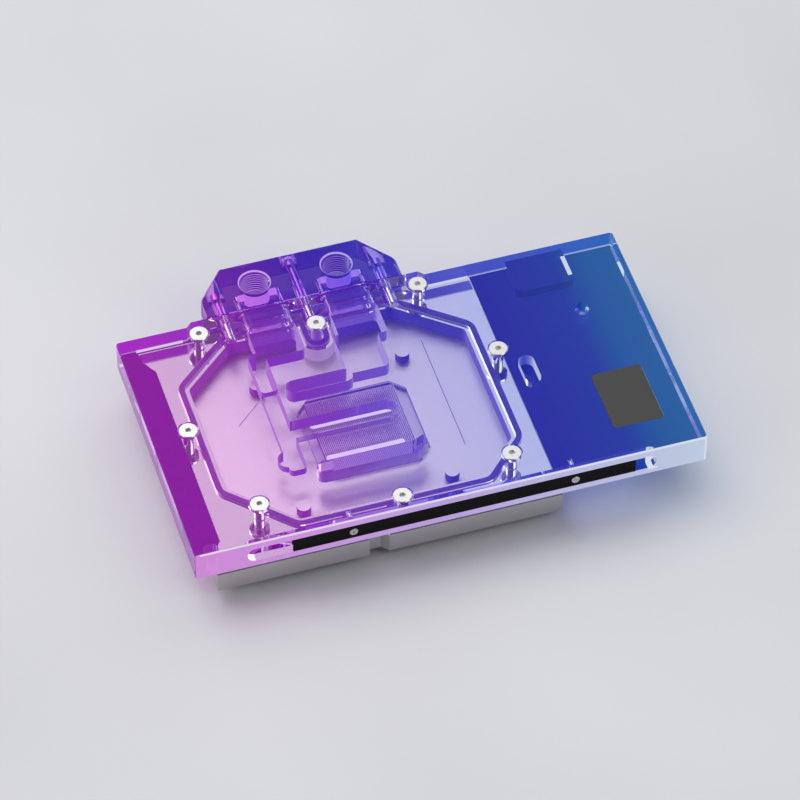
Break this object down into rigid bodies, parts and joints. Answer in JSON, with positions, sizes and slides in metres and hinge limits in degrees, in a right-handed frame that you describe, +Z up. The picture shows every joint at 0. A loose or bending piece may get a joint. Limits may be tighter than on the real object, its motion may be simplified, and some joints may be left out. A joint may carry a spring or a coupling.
{
  "type": "gpu water block",
  "caption": "Liquid cooling block for a graphics card: a clear cover over a finned cold plate, a terminal block whose threaded ports take hose fittings, and a light strip in the front edge.",
  "frame": {"origin": "centre of the bounding box at the surface that the standoffs rest on", "axes": "+X along the front edge towards the badge, +Y from the light strip towards the terminal block, +Z up out of the cover and along the port axes"},
  "size_m": [0.22, 0.1518, 0.0301],
  "materials": {
    "tinted_acrylic": "polished clear acrylic, lit by the strip in its edge",
    "terminal_acrylic": "polished clear acrylic",
    "clear_acrylic": "polished clear acrylic",
    "nickel_plate": "nickel-plated copper, machined and polished",
    "seal_rubber": "black rubber cord",
    "standoff_brass": "nickel-plated brass",
    "plated_screw": "nickel-plated steel",
    "steel_screw": "steel",
    "black_plastic": "glossy black",
    "board": "white solder mask",
    "badge_metal": "dark satin, bare"
  },
  "bodies": {
    "root": {"badge_plate": "badge_metal", "chip_standoff_1": "standoff_brass", "chip_standoff_2": "standoff_brass", "chip_standoff_3": "standoff_brass", "chip_standoff_4": "standoff_brass", "cold_plate": "nickel_plate", "cover_plate": "tinted_acrylic", "cover_screw_1": "plated_screw", "cover_screw_2": "plated_screw", "cover_screw_3": "plated_screw", "cover_screw_4": "plated_screw", "cover_screw_5": "plated_screw", "cover_screw_6": "plated_screw", "cover_screw_7": "plated_screw", "cover_screw_8": "plated_screw", "edge_standoff_1": "standoff_brass", "edge_standoff_2": "standoff_brass", "edge_standoff_3": "standoff_brass", "edge_standoff_4": "standoff_brass", "guide_plate": "clear_acrylic", "left_port_seal": "seal_rubber", "light_board": "board", "light_cover": "black_plastic", "light_screw_left": "steel_screw", "light_screw_right": "steel_screw", "main_seal": "seal_rubber", "right_port_seal": "seal_rubber", "terminal_block": "terminal_acrylic", "terminal_screw_centre": "steel_screw", "terminal_screw_left": "steel_screw", "terminal_screw_right": "steel_screw"}
  },
  "joints": []
}
